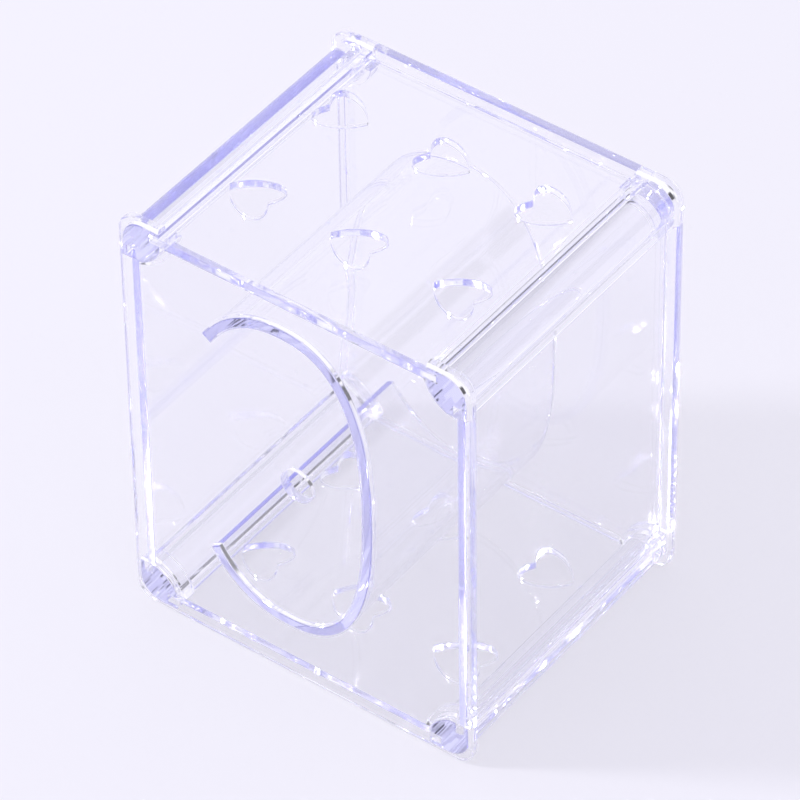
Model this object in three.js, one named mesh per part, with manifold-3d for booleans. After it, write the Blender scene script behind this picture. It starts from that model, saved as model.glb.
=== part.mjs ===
// Clear plastic queen cage: a small box that slides and plugs together without screws.
// Millimetres, +Z up. Origin: centre of the footprint, on the surface that the box stands on.
// X runs along the width, the front plate is at -Y and the rear plate at +Y.
// Four corner rails plug into leaf-shaped sockets of the two end plates and hold the four panels
// in grooves. Inside each end plate, a curved collar backs each rail. The front plate has a lowered
// top edge, over which the top panel slides out, and a C-shaped slot, through which the curved gate
// slides. The gate is a sheet bent to the slot's shape, and parts the room behind the round hole
// from the rest of the box.
import * as THREE from 'three';
import { mergeVertices } from 'three/addons/utils/BufferGeometryUtils.js';
import Module from 'manifold-3d';

const wasm = await Module();
wasm.setup();

// Driving dimensions
const WIDTH = 49;
const DEPTH = 41;
const HEIGHT = 60;
const PLATE_THICKNESS = 1.3;
const PLATE_CORNER_RADIUS = 2.4;
const PANEL_THICKNESS = 1.0;
const PANEL_INSET = 1.3; // from the plate's outline to the panel's outer face
const RAIL_INSET = 0.7; // from the plate's outline to the rail's outer face
const FIT_GAP = 0.1; // between pieces that stay put
const SLIDE_GAP = 0.15; // under and beside a sliding panel

// Corner rail, drawn from the plate's corner, inward along both sides
const RAIL_OUTER_RADIUS = 2.8;
const RAIL_INNER_RADIUS = 5.1;
const RAIL_INNER_CENTRE = 1.2;
const RAIL_TIP = 5.9;
const GROOVE_BOTTOM = 4.5;
const GROOVE_WIDTH = PANEL_THICKNESS + 2 * FIT_GAP;
const GROOVE_EDGE = PANEL_INSET - FIT_GAP;
const PANEL_EDGE = GROOVE_BOTTOM + FIT_GAP;
const ARC_STEPS = 12;

// Collar around each rail, inside the end plate
const COLLAR_THICKNESS = 0.8;
const COLLAR_DEPTH = 1.6;
const COLLAR_JOIN = 0.3; // how far the collar runs into the plate
const CLEAR_OF_PANEL = PANEL_INSET + PANEL_THICKNESS + SLIDE_GAP; // from the plate's outline

// Curved gate: its C is a superellipse, fuller on the right and open on the left
const GATE_THICKNESS = 1.1;
const GATE_LENGTH = 34.9;
const GATE_GAP = 0.15; // to the slot's walls
const GATE_CENTRE_X = -2;
const GATE_CENTRE_Z = 31;
const GATE_HALF_HEIGHT = 22.5;
const GATE_REACH_RIGHT = 12;
const GATE_REACH_LEFT = 14;
const CURVE_POWER_RIGHT = 2.5;
const CURVE_POWER_LEFT = 2.2;
const GATE_END_X = -12.2;
const GATE_STEPS = 44;

// Round hole in the front plate, inside the C
const HOLE_RADIUS = 2.2;
const HOLE_STEPS = 24;

// Heart-shaped air holes in the top and bottom panels
const HEART_LENGTH = 6.2;
const HEART_WIDTH = 6.2;
const HEART_POINT_SHARPNESS = 1.9;
const HEART_STEPS = 28;
const HEART_PITCH = 14.3;
const HEART_ROWS = [
  { y: -8.2, shift: -0.6, turn: Math.PI / 2 },
  { y: 9.4, shift: -0.6, turn: -Math.PI / 2 },
];

const CLEAR = { color: 0xdcdcfa, roughness: 0.05, metalness: 0, transparent: true, opacity: 0.35 };
const SIDE = WIDTH / 2;
const FRONT = -DEPTH / 2;
const INNER = DEPTH / 2 - PLATE_THICKNESS - FIT_GAP; // reach of pieces held between the plates

// Solids and booleans
const solidOf = (geometry) => {
  const bare = geometry.clone();
  bare.deleteAttribute('normal');
  bare.deleteAttribute('uv');
  const merged = mergeVertices(bare, 1e-5);
  return new wasm.Manifold(new wasm.Mesh({
    numProp: 3,
    vertProperties: new Float32Array(merged.attributes.position.array),
    triVerts: new Uint32Array(merged.index.array),
  }));
};

const geometryOf = (solid) => {
  const mesh = solid.getMesh();
  const geometry = new THREE.BufferGeometry();
  geometry.setAttribute('position', new THREE.BufferAttribute(mesh.vertProperties, 3));
  geometry.setIndex(new THREE.BufferAttribute(mesh.triVerts, 1));
  return geometry;
};

const shapeOf = (points) => new THREE.Shape(points.map(([x, y]) => new THREE.Vector2(x, y)));

// A prism whose outline is drawn in X and Z and which runs along Y from `from` to `to`.
const prismAlongY = (shape, from, to, curveSegments = ARC_STEPS) => {
  const options = { depth: to - from, bevelEnabled: false, curveSegments };
  const geometry = new THREE.ExtrudeGeometry(shape, options);
  geometry.rotateX(Math.PI / 2);
  geometry.translate(0, to, 0);
  return geometry;
};

const arcPoints = (cx, cz, radius, start, end, steps = ARC_STEPS) => {
  const points = [];
  for (let i = 0; i <= steps; i += 1) {
    const angle = start + ((end - start) * i) / steps;
    points.push([cx + radius * Math.cos(angle), cz + radius * Math.sin(angle)]);
  }
  return points;
};

// The four corners: the rail and its socket are drawn at the top left one and turned to the rest.
const CORNERS = {
  top_left: { x: -SIDE, z: HEIGHT, turn: 0 },
  top_right: { x: SIDE, z: HEIGHT, turn: Math.PI / 2 },
  bottom_right: { x: SIDE, z: 0, turn: Math.PI },
  bottom_left: { x: -SIDE, z: 0, turn: -Math.PI / 2 },
};

// Leaf-shaped outline of a rail, grown by `grow`: +X and -Z point into the box. Outside, two flat
// sides meet in a round corner. Inside, one arc runs from side to side.
const leafPoints = (grow) => {
  const tip = RAIL_TIP + grow;
  const face = RAIL_INSET - grow;
  const centre = RAIL_INSET + RAIL_OUTER_RADIUS;
  const inner = RAIL_INNER_RADIUS + grow;
  const edge = Math.acos((tip - RAIL_INNER_CENTRE) / inner);
  const outside = arcPoints(centre, -centre, RAIL_OUTER_RADIUS + grow, Math.PI, Math.PI / 2);
  const inside = arcPoints(RAIL_INNER_CENTRE, -RAIL_INNER_CENTRE, inner, -edge, edge - Math.PI / 2);
  return [[face, -tip], ...outside, [tip, -face], ...inside];
};

const groovedLeafPoints = () => {
  const lower = GROOVE_EDGE + GROOVE_WIDTH;
  const [start, ...rest] = leafPoints(0);
  const outside = rest.slice(0, ARC_STEPS + 2);
  const inside = rest.slice(ARC_STEPS + 2);
  const sideGroove = [
    [lower, -RAIL_TIP], [lower, -GROOVE_BOTTOM], [GROOVE_EDGE, -GROOVE_BOTTOM], [GROOVE_EDGE, -RAIL_TIP],
  ];
  const topGroove = [
    [RAIL_TIP, -GROOVE_EDGE], [GROOVE_BOTTOM, -GROOVE_EDGE], [GROOVE_BOTTOM, -lower], [RAIL_TIP, -lower],
  ];
  return [...sideGroove, start, ...outside, ...topGroove, ...inside];
};

const turnedToCorner = (geometry, corner) => geometry
  .clone()
  .rotateY(corner.turn)
  .translate(corner.x, 0, corner.z);

// Centre line of the C, from its upper end to its lower end, with the tangent at each point.
const gateLine = () => {
  const along = (angle) => {
    const c = Math.cos(angle);
    const s = Math.sin(angle);
    const power = c > 0 ? CURVE_POWER_RIGHT : CURVE_POWER_LEFT;
    const reach = c > 0 ? GATE_REACH_RIGHT : GATE_REACH_LEFT;
    const x = GATE_CENTRE_X + Math.sign(c) * reach * Math.abs(c) ** (2 / power);
    const z = GATE_CENTRE_Z + Math.sign(s) * GATE_HALF_HEIGHT * Math.abs(s) ** (2 / power);
    return new THREE.Vector3(x, 0, z);
  };
  const share = (GATE_CENTRE_X - GATE_END_X) / GATE_REACH_LEFT;
  const end = Math.PI - Math.acos(share ** (CURVE_POWER_LEFT / 2));
  const count = GATE_STEPS * 4;
  const dense = Array.from({ length: count + 1 }, (_, i) => along(end - (2 * end * i) / count));
  const curve = new THREE.CatmullRomCurve3(dense);
  return Array.from({ length: GATE_STEPS + 1 }, (_, i) => {
    const at = curve.getPointAt(i / GATE_STEPS);
    const tangent = curve.getTangentAt(i / GATE_STEPS);
    return { x: at.x, z: at.z, tx: tangent.x, tz: tangent.z };
  });
};

// Outline of the C with square ends, `gap` larger than the gate all round.
const gateOutline = (gap) => {
  const line = gateLine();
  const half = GATE_THICKNESS / 2 + gap;
  const last = line.length - 1;
  const beyond = (i) => (i === 0 ? -gap : 0) + (i === last ? gap : 0);
  const side = (sign) => line.map((p, i) => [
    p.x + p.tx * beyond(i) - p.tz * half * sign,
    p.z + p.tz * beyond(i) + p.tx * half * sign,
  ]);
  return [...side(1), ...side(-1).reverse()];
};

const plateOutline = () => {
  const r = PLATE_CORNER_RADIUS;
  return shapeOf([
    ...arcPoints(SIDE - r, r, r, -Math.PI / 2, 0, 8),
    ...arcPoints(SIDE - r, HEIGHT - r, r, 0, Math.PI / 2, 8),
    ...arcPoints(-SIDE + r, HEIGHT - r, r, Math.PI / 2, Math.PI, 8),
    ...arcPoints(-SIDE + r, r, r, Math.PI, (3 * Math.PI) / 2, 8),
  ]);
};

// Collar at the top left corner, before the rail's socket is cut: a sector of a disc about the rail.
const collarShape = () => {
  const radius = RAIL_INNER_RADIUS + FIT_GAP + COLLAR_THICKNESS;
  const angle = Math.acos((CLEAR_OF_PANEL - RAIL_INNER_CENTRE) / radius);
  return shapeOf([
    [CLEAR_OF_PANEL, -CLEAR_OF_PANEL],
    ...arcPoints(RAIL_INNER_CENTRE, -RAIL_INNER_CENTRE, radius, -angle, angle - Math.PI / 2),
  ]);
};

// End plate with its four collars and sockets, drawn as the front one.
const plateSolid = () => {
  const back = FRONT + PLATE_THICKNESS;
  const collar = prismAlongY(collarShape(), back - COLLAR_JOIN, back + COLLAR_DEPTH);
  const socket = prismAlongY(shapeOf(leafPoints(FIT_GAP)), FRONT - 1, back + COLLAR_DEPTH + 1);
  let plate = solidOf(prismAlongY(plateOutline(), FRONT, back));
  for (const corner of Object.values(CORNERS)) {
    plate = plate.add(solidOf(turnedToCorner(collar, corner)));
    plate = plate.subtract(solidOf(turnedToCorner(socket, corner)));
  }
  return plate;
};

// Front plate: its top edge is lowered between the rails, and the gate's slot and a hole are cut.
const frontPlateGeometry = () => {
  const cutter = (points) => solidOf(prismAlongY(shapeOf(points), FRONT - 1, INNER));
  const notchSide = SIDE - RAIL_TIP;
  const notchFloor = HEIGHT - CLEAR_OF_PANEL;
  const notch = [
    [-notchSide, notchFloor], [notchSide, notchFloor], [notchSide, HEIGHT + 1], [-notchSide, HEIGHT + 1],
  ];
  const hole = arcPoints(0, GATE_CENTRE_Z, HOLE_RADIUS, 0, 2 * Math.PI, HOLE_STEPS).slice(0, -1);
  let plate = plateSolid();
  for (const opening of [notch, hole, gateOutline(GATE_GAP)]) {
    plate = plate.subtract(cutter(opening));
  }
  return geometryOf(plate);
};

const rearPlateGeometry = () => geometryOf(plateSolid()).rotateZ(Math.PI);

const gateGeometry = () => prismAlongY(shapeOf(gateOutline(0)), FRONT, FRONT + GATE_LENGTH);

const railGeometry = (corner) => {
  const rail = prismAlongY(shapeOf(groovedLeafPoints()), FRONT, -FRONT);
  return turnedToCorner(rail, corner);
};

// Heart outline with its point towards -Y before it is turned. Its plain form is 26.5 long.
const heartPath = (cx, cy, turn) => {
  const raw = Array.from({ length: HEART_STEPS }, (_, i) => {
    const t = (2 * Math.PI * i) / HEART_STEPS;
    const x = Math.sign(Math.sin(t)) * Math.abs(Math.sin(t)) ** HEART_POINT_SHARPNESS;
    const y = 13 * Math.cos(t) - 4.5 * Math.cos(2 * t) - 1.5 * Math.cos(3 * t);
    return new THREE.Vector2((x / 2) * HEART_WIDTH, ((y + 2.8) / 26.5) * HEART_LENGTH);
  });
  return shapeOf(raw.map((p) => {
    p.rotateAround(new THREE.Vector2(), -turn);
    return [p.x + cx, p.y + cy];
  }));
};

// Panel with air holes, from `front` to the rear plate, with its lower face at `base`.
const ventedPanelGeometry = (front, base) => {
  const side = SIDE - PANEL_EDGE;
  const shape = shapeOf([[-side, front], [side, front], [side, INNER], [-side, INNER]]);
  for (const row of HEART_ROWS) {
    for (const column of [-1, 0, 1]) {
      shape.holes.push(heartPath(column * HEART_PITCH + row.shift, row.y, row.turn));
    }
  }
  const options = { depth: PANEL_THICKNESS, bevelEnabled: false };
  const panel = new THREE.ExtrudeGeometry(shape, options);
  return panel.translate(0, 0, base);
};

const sidePanelGeometry = (sign) => {
  const height = HEIGHT - 2 * PANEL_EDGE;
  const panel = new THREE.BoxGeometry(PANEL_THICKNESS, 2 * INNER, height);
  return panel.translate(sign * (SIDE - PANEL_INSET - PANEL_THICKNESS / 2), 0, HEIGHT / 2);
};

const cage = new THREE.Group();

const addPiece = (name, geometry) => {
  const mesh = new THREE.Mesh(geometry, new THREE.MeshStandardMaterial(CLEAR));
  mesh.name = name;
  cage.add(mesh);
};

addPiece('front_plate', frontPlateGeometry());
addPiece('rear_plate', rearPlateGeometry());
addPiece('curved_gate', gateGeometry());
for (const [place, corner] of Object.entries(CORNERS)) {
  addPiece(`rail_${place}`, railGeometry(corner));
}
// The top panel reaches the front plate's outer face, the bottom one stays behind the plate.
addPiece('top_panel', ventedPanelGeometry(FRONT, HEIGHT - PANEL_INSET - PANEL_THICKNESS));
addPiece('bottom_panel', ventedPanelGeometry(-INNER, PANEL_INSET));
addPiece('left_panel', sidePanelGeometry(-1));
addPiece('right_panel', sidePanelGeometry(1));

export default cage;
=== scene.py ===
"""Clear plastic queen cage: fine meshes, clear plastic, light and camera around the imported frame."""
import math

import bmesh
import bpy
from mathutils import Matrix, Vector
from mathutils.geometry import tessellate_polygon


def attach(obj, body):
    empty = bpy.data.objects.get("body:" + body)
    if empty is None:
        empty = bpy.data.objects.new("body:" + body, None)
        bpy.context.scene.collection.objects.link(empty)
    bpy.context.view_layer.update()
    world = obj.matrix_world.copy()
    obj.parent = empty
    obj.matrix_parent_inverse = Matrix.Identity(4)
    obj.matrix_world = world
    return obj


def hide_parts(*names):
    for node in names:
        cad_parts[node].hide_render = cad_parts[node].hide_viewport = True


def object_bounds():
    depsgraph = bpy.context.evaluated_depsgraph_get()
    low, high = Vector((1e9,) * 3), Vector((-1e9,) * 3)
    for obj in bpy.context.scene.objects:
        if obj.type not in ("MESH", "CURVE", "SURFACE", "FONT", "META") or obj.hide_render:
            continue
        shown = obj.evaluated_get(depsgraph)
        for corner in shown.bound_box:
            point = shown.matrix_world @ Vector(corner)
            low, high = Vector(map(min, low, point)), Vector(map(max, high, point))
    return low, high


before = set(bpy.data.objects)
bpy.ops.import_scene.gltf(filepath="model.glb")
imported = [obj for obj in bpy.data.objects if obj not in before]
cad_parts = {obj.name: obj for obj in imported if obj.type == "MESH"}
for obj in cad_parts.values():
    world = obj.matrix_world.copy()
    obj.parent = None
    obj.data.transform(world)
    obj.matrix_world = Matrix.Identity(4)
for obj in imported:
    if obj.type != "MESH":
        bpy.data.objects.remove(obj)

CAD_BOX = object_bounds()

# Shapes are drawn in millimetres, as the frame's design is, and made in metres
MM = 0.001
SIDE = CAD_BOX[1].x / MM
REAR = CAD_BOX[1].y / MM
HEIGHT = CAD_BOX[1].z / MM
EDGE_ROUND = 0.09
ROUND_STEPS = 3
SMOOTH_ANGLE = math.radians(12)  # under the first bevel, so that flat faces stay flat
SAME_POINT = 1e-4  # points closer than this count as one
CUT_PAST = 1  # a cutter reaches this far past the piece

PLATE_THICKNESS = 1.3
PLATE_CORNER_RADIUS = 2.4
PLATE_EDGE_ROUND = 0.4
PANEL_THICKNESS = 1.0
PANEL_INSET = 1.3
FIT_GAP = 0.1
SLIDE_GAP = 0.15
INNER = REAR - PLATE_THICKNESS - FIT_GAP

# Corner rail
RAIL_INSET = 0.7
RAIL_OUTER_RADIUS = 2.8
RAIL_INNER_RADIUS = 5.1
RAIL_INNER_CENTRE = 1.2
RAIL_TIP = 5.9
GROOVE_BOTTOM = 4.5
GROOVE_EDGE = PANEL_INSET - FIT_GAP
GROOVE_WIDTH = PANEL_THICKNESS + 2 * FIT_GAP
PANEL_EDGE = GROOVE_BOTTOM + FIT_GAP
LEAF_STEPS = 28
CORNER_STEPS = 16

# Collar around each rail, inside the end plate
COLLAR_THICKNESS = 0.8
COLLAR_DEPTH = 1.6
COLLAR_JOIN = 0.3
COLLAR_STEP = 0.1  # the collar's walls stand this far back from the plate's
CLEAR_OF_PANEL = PANEL_INSET + PANEL_THICKNESS + SLIDE_GAP

# Curved gate and the round hole
GATE_THICKNESS = 1.1
GATE_GAP = 0.15
GATE_LENGTH = 34.9
GATE_CENTRE = (-2.0, 31.0)
GATE_HALF_HEIGHT = 22.5
GATE_REACH = {"left": 14.0, "right": 12.0}
GATE_POWER = {"left": 2.2, "right": 2.5}
GATE_END_X = -12.2
GATE_STEPS = 128
GATE_FINER = 8  # the C is measured in steps this many times finer
HOLE_RADIUS = 2.2
HOLE_STEPS = 64

# Air holes
HEART_SIZE = 6.2
HEART_PITCH = 14.3
HEART_SHIFT = -0.6
HEART_SHARPNESS = 1.9
HEART_STEPS = 96
HEART_WAVES = (13, 4.5, 1.5)
HEART_MIDDLE = 2.8
HEART_SPAN = 26.5
HEART_ROWS = ((-8.2, math.pi / 2), (9.4, -math.pi / 2))

CORNERS = {
    "top_left": (-SIDE, HEIGHT, 0.0),
    "top_right": (SIDE, HEIGHT, math.pi / 2),
    "bottom_right": (SIDE, 0.0, math.pi),
    "bottom_left": (-SIDE, 0.0, -math.pi / 2),
}

# Clear plastic
PLASTIC_IOR = 1.52
PLASTIC_TINTS = (0.993, 0.992, 1.0, 1), (0.999, 0.998, 1.0, 1)
PLASTIC_ROUGHNESS = (0.012, 0.035)
PLASTIC_ABSORPTION = (0.12, 0.12, 0.92, 1)
WAVES_PER_METRE = 90
GRAINS_PER_METRE = 900
NOISE_LOW, NOISE_HIGH = 0.3, 0.7
EVEN, ALONG_Y = (1, 1, 1), (1, 0.06, 1)

# Studio
LIGHT_BOUNCES = 256  # light runs the length of a clear sheet in many short bounces
FLOOR_COLOUR = (0.14, 0.137, 0.151, 1)
FLOOR_GLOW = (0.905, 0.887, 1.0, 1)
FLOOR_GLOW_STRENGTH = 0.74
FLOOR_SIZE = 8.0
WORLD_LIGHT = (0.97, 0.96, 1.0, 1)
WORLD_DARK = (0.02, 0.02, 0.025, 1)
WORLD_STRENGTH = 1.1
DARK_GAP = (0.75, 0.62, 0.20)  # the way to an unlit part of the studio
GAP_REACH = math.radians(14)
GAP_BLUR = math.radians(6)
KEY_PLACE, KEY_AIM = (-0.72, -0.50, 0.86), (0, 0, 0.02)
KEY_SIZE = 0.16
KEY_POWER = 14.0
CAMERA_AZIMUTH = math.radians(37.15)
CAMERA_ELEVATION = math.radians(42.81)
CAMERA_ROLL = math.radians(0.88)
CAMERA_DISTANCE = 0.7112
CAMERA_AIM = Vector((-0.0001, -0.0007, 0.0295))
CAMERA_LENS = 277.4
CAMERA_SENSOR = 36


# Outlines
def arc(centre, radius, start, end, steps):
    angles = [start + (end - start) * i / steps for i in range(steps + 1)]
    return [(centre[0] + radius * math.cos(a), centre[1] + radius * math.sin(a)) for a in angles]


def circle(centre, radius, steps):
    return arc(centre, radius, 0, 2 * math.pi, steps)[:-1]


def leaf_parts(grow):
    """Outline of a rail at the top left corner, grown all round, as its outer and inner stretch."""
    tip = RAIL_TIP + grow
    face = RAIL_INSET - grow
    inner = RAIL_INNER_RADIUS + grow
    centre = RAIL_INSET + RAIL_OUTER_RADIUS
    edge = math.acos((tip - RAIL_INNER_CENTRE) / inner)
    outside = arc((centre, -centre), RAIL_OUTER_RADIUS + grow, math.pi, math.pi / 2, LEAF_STEPS)
    inside_centre = (RAIL_INNER_CENTRE, -RAIL_INNER_CENTRE)
    inside = arc(inside_centre, inner, -edge, edge - math.pi / 2, LEAF_STEPS)
    return [(face, -tip), *outside, (tip, -face)], inside


def grooved_leaf():
    near, far = GROOVE_EDGE, GROOVE_EDGE + GROOVE_WIDTH
    outside, inside = leaf_parts(0)
    side_groove = [(far, -RAIL_TIP), (far, -GROOVE_BOTTOM), (near, -GROOVE_BOTTOM), (near, -RAIL_TIP)]
    top_groove = [(RAIL_TIP, -near), (GROOVE_BOTTOM, -near), (GROOVE_BOTTOM, -far), (RAIL_TIP, -far)]
    return [*side_groove, *outside, *top_groove, *inside]


def to_corner(points, corner):
    x0, z0, turn = CORNERS[corner]
    c, s = math.cos(turn), math.sin(turn)
    return [(x * c + z * s + x0, z * c - x * s + z0) for x, z in points]


def gate_line():
    """Points and tangents along the middle of the C, evenly spaced."""
    def along(angle):
        c, s = math.cos(angle), math.sin(angle)
        half = "right" if c > 0 else "left"
        power = 2 / GATE_POWER[half]
        return Vector((
            GATE_CENTRE[0] + math.copysign(GATE_REACH[half] * abs(c) ** power, c),
            GATE_CENTRE[1] + math.copysign(GATE_HALF_HEIGHT * abs(s) ** power, s),
        ))

    share = (GATE_CENTRE[0] - GATE_END_X) / GATE_REACH["left"]
    end = math.pi - math.acos(share ** (GATE_POWER["left"] / 2))
    count = GATE_STEPS * GATE_FINER
    dense = [along(end - 2 * end * i / count) for i in range(count + 1)]
    travelled = [0.0]
    for a, b in zip(dense, dense[1:]):
        travelled.append(travelled[-1] + (b - a).length)
    line = []
    at = 0
    for i in range(GATE_STEPS + 1):
        goal = travelled[-1] * i / GATE_STEPS
        while at < count - 1 and travelled[at + 1] < goal:
            at += 1
        a, b = dense[at], dense[at + 1]
        share = (goal - travelled[at]) / (travelled[at + 1] - travelled[at])
        line.append((a.lerp(b, share), (b - a).normalized()))
    return line


def gate_outline(gap):
    line = gate_line()
    half = GATE_THICKNESS / 2 + gap
    first, last = line[0], line[-1]
    line[0] = (first[0] - first[1] * gap, first[1])
    line[-1] = (last[0] + last[1] * gap, last[1])
    left = [(p.x - t.y * half, p.y + t.x * half) for p, t in line]
    right = [(p.x + t.y * half, p.y - t.x * half) for p, t in line]
    return left + right[::-1]


def heart(centre, turn):
    first, second, third = HEART_WAVES
    points = []
    for i in range(HEART_STEPS):
        t = 2 * math.pi * i / HEART_STEPS
        x = math.copysign(abs(math.sin(t)) ** HEART_SHARPNESS, math.sin(t)) / 2
        wave = first * math.cos(t) - second * math.cos(2 * t) - third * math.cos(3 * t)
        y = (wave + HEART_MIDDLE) / HEART_SPAN
        c, s = math.cos(turn), math.sin(turn)
        points.append((
            centre[0] + HEART_SIZE * (x * c + y * s),
            centre[1] + HEART_SIZE * (y * c - x * s),
        ))
    return points


def hearts():
    return [
        heart((column * HEART_PITCH + HEART_SHIFT, y), turn)
        for y, turn in HEART_ROWS
        for column in (-1, 0, 1)
    ]


def socket(corner):
    outside, inside = leaf_parts(FIT_GAP)
    return to_corner(outside + inside, corner)


def plate_outline():
    r = PLATE_CORNER_RADIUS
    quarter = math.pi / 2
    return [
        *arc((SIDE - r, r), r, -quarter, 0, CORNER_STEPS),
        *arc((SIDE - r, HEIGHT - r), r, 0, quarter, CORNER_STEPS),
        *arc((r - SIDE, HEIGHT - r), r, quarter, 2 * quarter, CORNER_STEPS),
        *arc((r - SIDE, r), r, 2 * quarter, 3 * quarter, CORNER_STEPS),
    ]


def notch_outline():
    """Between the rails, the front plate stops under the sliding panel."""
    side, floor, above = SIDE - RAIL_TIP, HEIGHT - CLEAR_OF_PANEL, HEIGHT + CUT_PAST
    return [(-side, floor), (side, floor), (side, above), (-side, above)]


def collar_outline(corner):
    """Crescent along the inner side of a rail, clear of the panels."""
    edge = CLEAR_OF_PANEL + COLLAR_STEP
    tip = RAIL_TIP + FIT_GAP + COLLAR_STEP
    _, inside = leaf_parts(FIT_GAP + COLLAR_STEP)
    radius = RAIL_INNER_RADIUS + FIT_GAP + COLLAR_THICKNESS
    angle = math.acos((edge - RAIL_INNER_CENTRE) / radius)
    centre = (RAIL_INNER_CENTRE, -RAIL_INNER_CENTRE)
    bend = arc(centre, radius, -angle, angle - math.pi / 2, LEAF_STEPS)
    return to_corner([*bend, (tip, -edge), *inside, (edge, -tip)], corner)


# Meshes
def facing_left(loop, clockwise):
    """The loop as vectors, with the material on its left."""
    points = [Vector(p) for p in loop]
    points = [p for i, p in enumerate(points) if (p - points[i - 1]).length > SAME_POINT]
    area = sum(a.cross(b) for a, b in zip(points, points[1:] + points[:1]))
    return points[::-1] if (area < 0) != clockwise else points


def inset_rays(loop):
    """For each point, the way it moves when the loop's edges move one unit into the material."""
    rays = []
    for i, point in enumerate(loop):
        before = (point - loop[i - 1]).normalized()
        after = (loop[(i + 1) % len(loop)] - point).normalized()
        n0, n1 = Vector((-before.y, before.x)), Vector((-after.y, after.x))
        rays.append((n0 + n1) / (1 + n0.dot(n1)))
    return rays


def rounded_prism(outline, holes, low, high, place, outer_round=EDGE_ROUND):
    """Closed mesh of an outline with holes, extruded from low to high, with rounded edges."""
    loops = [facing_left(outline, False), *(facing_left(hole, True) for hole in holes)]
    rays = [inset_rays(loop) for loop in loops]
    radii = [outer_round] + [EDGE_ROUND] * len(holes)
    levels = []
    for k in range(ROUND_STEPS + 1):
        angle = math.pi / 2 * k / ROUND_STEPS
        levels.append((1 - math.sin(angle), 1 - math.cos(angle)))
    mesh = bmesh.new()
    rings = []
    for end, out, order in ((low, 1, levels), (high, -1, levels[::-1])):
        for inset, rise in order:
            rings.append([
                [(p + ray * inset * radius, end + out * rise * radius) for p, ray in zip(loop, moves)]
                for loop, moves, radius in zip(loops, rays, radii)
            ])
    made = [
        [[mesh.verts.new(place(*point, level) * MM) for point, level in loop] for loop in ring]
        for ring in rings
    ]
    for lower, upper in zip(made, made[1:]):
        for a, b in zip(lower, upper):
            for i in range(len(a)):
                mesh.faces.new((a[i - 1], a[i], b[i], b[i - 1]))
    caps = []
    for ring, vertices in ((rings[0], made[0]), (rings[-1], made[-1])):
        flat = [[point.to_3d() for point, _ in loop] for loop in ring]
        corners = [vertex for loop in vertices for vertex in loop]
        caps += [mesh.faces.new([corners[i] for i in t]) for t in tessellate_polygon(flat)]
    flat_faces = set(caps)
    within = [edge for edge in mesh.edges if flat_faces.issuperset(edge.link_faces)]
    bmesh.ops.beautify_fill(mesh, faces=caps, edges=within)
    bmesh.ops.recalc_face_normals(mesh, faces=mesh.faces)
    return mesh


def upright(x, z, y):
    return Vector((x, y, z))


def lying(x, y, z):
    return Vector((x, y, z))


def make_object(name, mesh):
    data = bpy.data.meshes.new(name)
    mesh.to_mesh(data)
    mesh.free()
    piece = bpy.data.objects.new(f"clear_{name}", data)
    bpy.context.collection.objects.link(piece)
    return piece


def combine(piece, other, operation):
    """Joins the other closed mesh to the piece, or cuts it away."""
    modifier = piece.modifiers.new("combine", "BOOLEAN")
    modifier.operation = operation
    modifier.solver = "EXACT"
    modifier.object = other
    shown = piece.evaluated_get(bpy.context.evaluated_depsgraph_get())
    combined = bpy.data.meshes.new_from_object(shown)
    piece.modifiers.clear()
    piece.data = combined
    bpy.data.objects.remove(other)


def finish_piece(piece, node, body, material):
    piece.data.materials.clear()
    piece.data.materials.append(material)
    piece.data.shade_smooth()
    piece.data.set_sharp_from_angle(angle=SMOOTH_ANGLE)
    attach(piece, body)
    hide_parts(node)


# Pieces
def make_plate(name, front, material):
    """End plate with its four collars, drawn at the front or at the rear."""
    side = -1 if front else 1
    back = side * (REAR - PLATE_THICKNESS)
    holes = [socket(corner) for corner in CORNERS]
    if front:
        holes += [gate_outline(GATE_GAP), circle((0, GATE_CENTRE[1]), HOLE_RADIUS, HOLE_STEPS)]
    low, high = sorted((side * REAR, back))
    mesh = rounded_prism(plate_outline(), holes, low, high, upright, PLATE_EDGE_ROUND)
    plate = make_object(name, mesh)
    low, high = sorted((back + side * COLLAR_JOIN, back - side * COLLAR_DEPTH))
    for corner in CORNERS:
        mesh = rounded_prism(collar_outline(corner), [], low, high, upright)
        combine(plate, make_object(f"collar_{corner}", mesh), "UNION")
    if front:
        mesh = rounded_prism(notch_outline(), [], -REAR - CUT_PAST, back + CUT_PAST, upright)
        combine(plate, make_object("notch", mesh), "DIFFERENCE")
    finish_piece(plate, name, "case", material)


def make_rail(corner, material):
    outline = to_corner(grooved_leaf(), corner)
    rail = make_object(f"rail_{corner}", rounded_prism(outline, [], -REAR, REAR, upright))
    finish_piece(rail, f"rail_{corner}", "case", material)


def make_vented_panel(name, body, front, base, material):
    side = SIDE - PANEL_EDGE
    outline = [(-side, front), (side, front), (side, INNER), (-side, INNER)]
    mesh = rounded_prism(outline, hearts(), base, base + PANEL_THICKNESS, lying)
    finish_piece(make_object(name, mesh), name, body, material)


def make_side_panel(name, side, material):
    outer, inner = side * (SIDE - PANEL_INSET), side * (SIDE - PANEL_INSET - PANEL_THICKNESS)
    low, high = PANEL_EDGE, HEIGHT - PANEL_EDGE
    outline = [(outer, low), (inner, low), (inner, high), (outer, high)]
    mesh = rounded_prism(outline, [], -INNER, INNER, upright)
    finish_piece(make_object(name, mesh), name, "case", material)


def make_gate(material):
    mesh = rounded_prism(gate_outline(0), [], -REAR, GATE_LENGTH - REAR, upright)
    finish_piece(make_object("curved_gate", mesh), "curved_gate", "gate", material)


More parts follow.
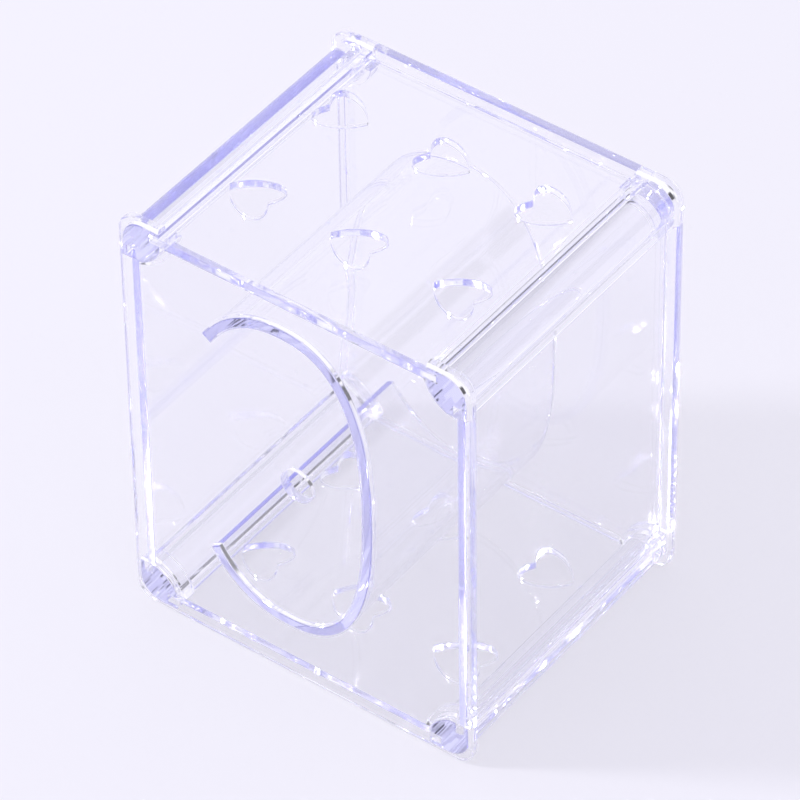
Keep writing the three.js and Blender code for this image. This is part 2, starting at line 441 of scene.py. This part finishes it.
# Materials
def noise(tree, coordinates, scale, stretch, detail):
    """Noise of the given scale per metre along each axis."""
    mapping = tree.nodes.new("ShaderNodeMapping")
    mapping.inputs["Scale"].default_value = [scale * part for part in stretch]
    tree.links.new(coordinates, mapping.inputs["Vector"])
    texture = tree.nodes.new("ShaderNodeTexNoise")
    texture.inputs["Scale"].default_value = 1.0
    texture.inputs["Detail"].default_value = detail
    tree.links.new(mapping.outputs["Vector"], texture.inputs["Vector"])
    return texture.outputs["Fac"]


def spread(tree, value, low, high):
    """The noise value, stretched over the range from low to high."""
    remap = tree.nodes.new("ShaderNodeMapRange")
    remap.inputs["From Min"].default_value = NOISE_LOW
    remap.inputs["From Max"].default_value = NOISE_HIGH
    remap.inputs["To Min"].default_value = low
    remap.inputs["To Max"].default_value = high
    tree.links.new(value, remap.inputs["Value"])
    return remap.outputs["Result"]


def make_clear_plastic(name, stretch, wave, grain, density):
    """Clear violet plastic. Its surface has long waves and a fine grain, of these heights in metres."""
    material = bpy.data.materials.new(name)
    material.use_nodes = True
    tree = material.node_tree
    shader = tree.nodes["Principled BSDF"]
    shader.inputs["IOR"].default_value = PLASTIC_IOR
    shader.inputs["Transmission Weight"].default_value = 1.0
    place = tree.nodes.new("ShaderNodeTexCoord").outputs["Object"]
    broad = noise(tree, place, WAVES_PER_METRE, stretch, 1.0)
    fine = noise(tree, place, GRAINS_PER_METRE, stretch, 3.0)
    tint = tree.nodes.new("ShaderNodeMixRGB")
    tint.inputs["Color1"].default_value, tint.inputs["Color2"].default_value = PLASTIC_TINTS
    tree.links.new(broad, tint.inputs["Fac"])
    tree.links.new(tint.outputs["Color"], shader.inputs["Base Color"])
    tree.links.new(spread(tree, fine, *PLASTIC_ROUGHNESS), shader.inputs["Roughness"])
    normal = None
    for height, depth in ((broad, wave), (fine, grain)):
        bump = tree.nodes.new("ShaderNodeBump")
        bump.inputs["Distance"].default_value = depth
        tree.links.new(height, bump.inputs["Height"])
        if normal:
            tree.links.new(normal, bump.inputs["Normal"])
        normal = bump.outputs["Normal"]
    tree.links.new(normal, shader.inputs["Normal"])
    absorb = tree.nodes.new("ShaderNodeVolumeAbsorption")
    absorb.inputs["Color"].default_value = PLASTIC_ABSORPTION
    absorb.inputs["Density"].default_value = density
    tree.links.new(absorb.outputs["Volume"], tree.nodes["Material Output"].inputs["Volume"])
    return material


def make_floor_material():
    """Pale floor that is mostly lit from below, like a light table."""
    material = bpy.data.materials.new("pale_floor")
    material.use_nodes = True
    shader = material.node_tree.nodes["Principled BSDF"]
    shader.inputs["Base Color"].default_value = FLOOR_COLOUR
    shader.inputs["Roughness"].default_value = 0.9
    shader.inputs["Specular IOR Level"].default_value = 0.0
    shader.inputs["Emission Color"].default_value = FLOOR_GLOW
    shader.inputs["Emission Strength"].default_value = FLOOR_GLOW_STRENGTH
    return material


# Studio
def add_floor():
    bpy.ops.mesh.primitive_plane_add(size=FLOOR_SIZE, location=(0, 0, 0))
    floor = bpy.context.object
    floor.name = "floor"
    floor.data.materials.append(make_floor_material())


def add_world():
    """Even light from all sides, with one dark gap low down."""
    world = bpy.data.worlds.new("studio")
    bpy.context.scene.world = world
    world.use_nodes = True
    tree = world.node_tree
    direction = tree.nodes.new("ShaderNodeTexCoord").outputs["Generated"]
    towards_gap = tree.nodes.new("ShaderNodeVectorMath")
    towards_gap.operation = "DOT_PRODUCT"
    towards_gap.inputs[1].default_value = Vector(DARK_GAP).normalized()
    tree.links.new(direction, towards_gap.inputs[0])
    remap = tree.nodes.new("ShaderNodeMapRange")
    remap.inputs["From Min"].default_value = math.cos(GAP_REACH + GAP_BLUR)
    remap.inputs["From Max"].default_value = math.cos(GAP_REACH)
    tree.links.new(towards_gap.outputs["Value"], remap.inputs["Value"])
    colour = tree.nodes.new("ShaderNodeMixRGB")
    colour.inputs["Color1"].default_value = WORLD_LIGHT
    colour.inputs["Color2"].default_value = WORLD_DARK
    tree.links.new(remap.outputs["Result"], colour.inputs["Fac"])
    back = tree.nodes["Background"]
    back.inputs["Strength"].default_value = WORLD_STRENGTH
    tree.links.new(colour.outputs["Color"], back.inputs["Color"])


def add_area(name, location, target, size, power):
    light = bpy.data.lights.new(name, "AREA")
    light.shape = "DISK"
    light.size = size
    light.energy = power
    lamp = bpy.data.objects.new(name, light)
    bpy.context.collection.objects.link(lamp)
    lamp.location = location
    direction = Vector(target) - Vector(location)
    lamp.rotation_euler = direction.to_track_quat("-Z", "Y").to_euler()


def add_camera():
    away = Vector((
        math.sin(CAMERA_AZIMUTH) * math.cos(CAMERA_ELEVATION),
        -math.cos(CAMERA_AZIMUTH) * math.cos(CAMERA_ELEVATION),
        math.sin(CAMERA_ELEVATION),
    ))
    data = bpy.data.cameras.new("camera")
    data.sensor_width = CAMERA_SENSOR
    data.lens = CAMERA_LENS
    camera = bpy.data.objects.new("camera", data)
    bpy.context.collection.objects.link(camera)
    turn = (-away).to_track_quat("-Z", "Y").to_matrix().to_4x4()
    turn = turn @ Matrix.Rotation(-CAMERA_ROLL, 4, "Z")
    camera.matrix_world = Matrix.Translation(CAMERA_AIM + away * CAMERA_DISTANCE) @ turn
    bpy.context.scene.camera = camera


def set_light_paths():
    scene = bpy.context.scene
    scene.view_settings.view_transform = "Standard"
    cycles = scene.cycles
    cycles.max_bounces = LIGHT_BOUNCES
    cycles.transmission_bounces = LIGHT_BOUNCES
    cycles.glossy_bounces = LIGHT_BOUNCES
    cycles.diffuse_bounces = 4
    cycles.caustics_refractive = True
    cycles.caustics_reflective = True
    cycles.sample_clamp_indirect = 0
    cycles.blur_glossy = 0.5
    cycles.use_denoising = True


add_camera()
add_floor()
add_world()
add_area("key", KEY_PLACE, KEY_AIM, KEY_SIZE, KEY_POWER)
set_light_paths()

plate_plastic = make_clear_plastic("plate_plastic", EVEN, wave=6e-6, grain=1e-7, density=5.0)
rail_plastic = make_clear_plastic("rail_plastic", ALONG_Y, wave=1e-5, grain=4e-7, density=8.0)
panel_plastic = make_clear_plastic("panel_plastic", EVEN, wave=6e-6, grain=1e-7, density=10.0)

make_plate("front_plate", True, plate_plastic)
make_plate("rear_plate", False, plate_plastic)
make_gate(panel_plastic)
for corner in CORNERS:
    make_rail(corner, rail_plastic)
top_base = HEIGHT - PANEL_INSET - PANEL_THICKNESS
make_vented_panel("top_panel", "lid", -REAR, top_base, panel_plastic)
make_vented_panel("bottom_panel", "case", -INNER, PANEL_INSET, panel_plastic)
make_side_panel("left_panel", -1, panel_plastic)
make_side_panel("right_panel", 1, panel_plastic)
